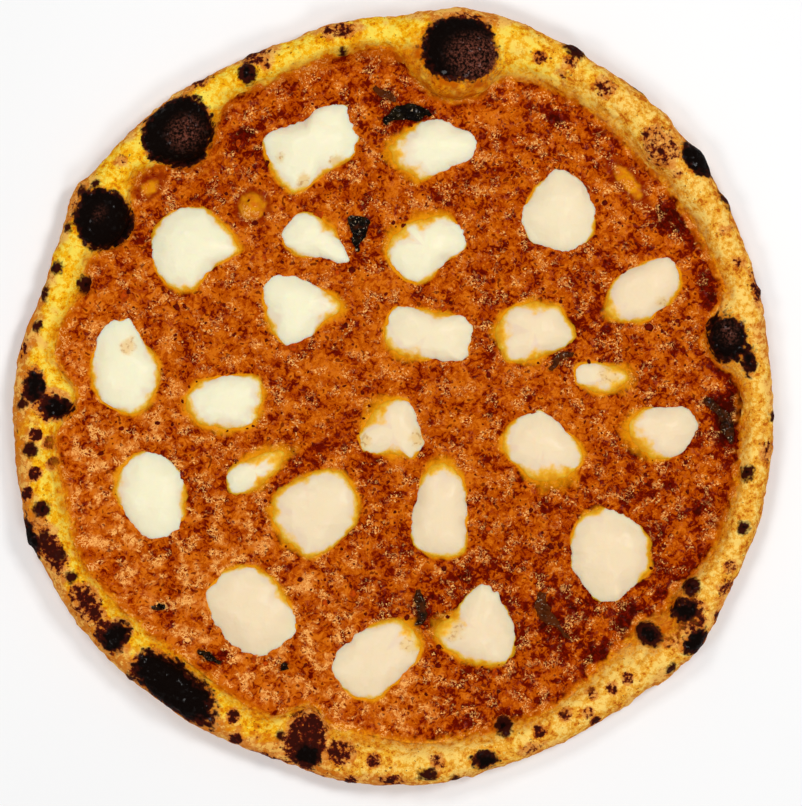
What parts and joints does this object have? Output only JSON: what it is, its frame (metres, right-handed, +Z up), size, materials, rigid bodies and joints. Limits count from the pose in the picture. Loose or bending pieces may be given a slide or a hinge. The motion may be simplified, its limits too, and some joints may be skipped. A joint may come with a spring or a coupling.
{
  "type": "vodka sauce pizza",
  "caption": "Whole round pizza with a raised, charred and blistered rim, orange vodka sauce, melted torn mozzarella and scraps of burnt basil; lies flat on a plate, board or table.",
  "frame": {"origin": "middle of the pizza's box in X and Y, on its flat underside", "axes": "+Z up from the surface it lies on; +Y towards the largest charred bubble on the rim; +X to the right of that, seen from above"},
  "size_m": [0.297, 0.3044, 0.0205],
  "materials": {
    "crust": "baked dough, matt, with char",
    "sauce": "oily, grainy, wet gloss",
    "mozzarella": "smooth melted, soft gloss",
    "basil": "burnt, oily gloss"
  },
  "bodies": {
    "root": {"dough": "crust", "vodka_sauce": "sauce", "mozzarella_01": "mozzarella", "mozzarella_02": "mozzarella", "mozzarella_03": "mozzarella", "mozzarella_04": "mozzarella", "mozzarella_05": "mozzarella", "mozzarella_06": "mozzarella", "mozzarella_07": "mozzarella", "mozzarella_08": "mozzarella", "mozzarella_09": "mozzarella", "mozzarella_10": "mozzarella", "mozzarella_11": "mozzarella", "mozzarella_12": "mozzarella", "mozzarella_13": "mozzarella", "mozzarella_14": "mozzarella", "mozzarella_15": "mozzarella", "mozzarella_16": "mozzarella", "mozzarella_17": "mozzarella", "mozzarella_18": "mozzarella", "mozzarella_19": "mozzarella", "mozzarella_20": "mozzarella", "mozzarella_21": "mozzarella", "mozzarella_22": "mozzarella", "mozzarella_23": "mozzarella", "mozzarella_24": "mozzarella", "basil_01": "basil", "basil_02": "basil", "basil_03": "basil", "basil_04": "basil", "basil_05": "basil", "basil_06": "basil", "basil_07": "basil", "basil_08": "basil", "basil_09": "basil", "basil_10": "basil"}
  },
  "joints": []
}
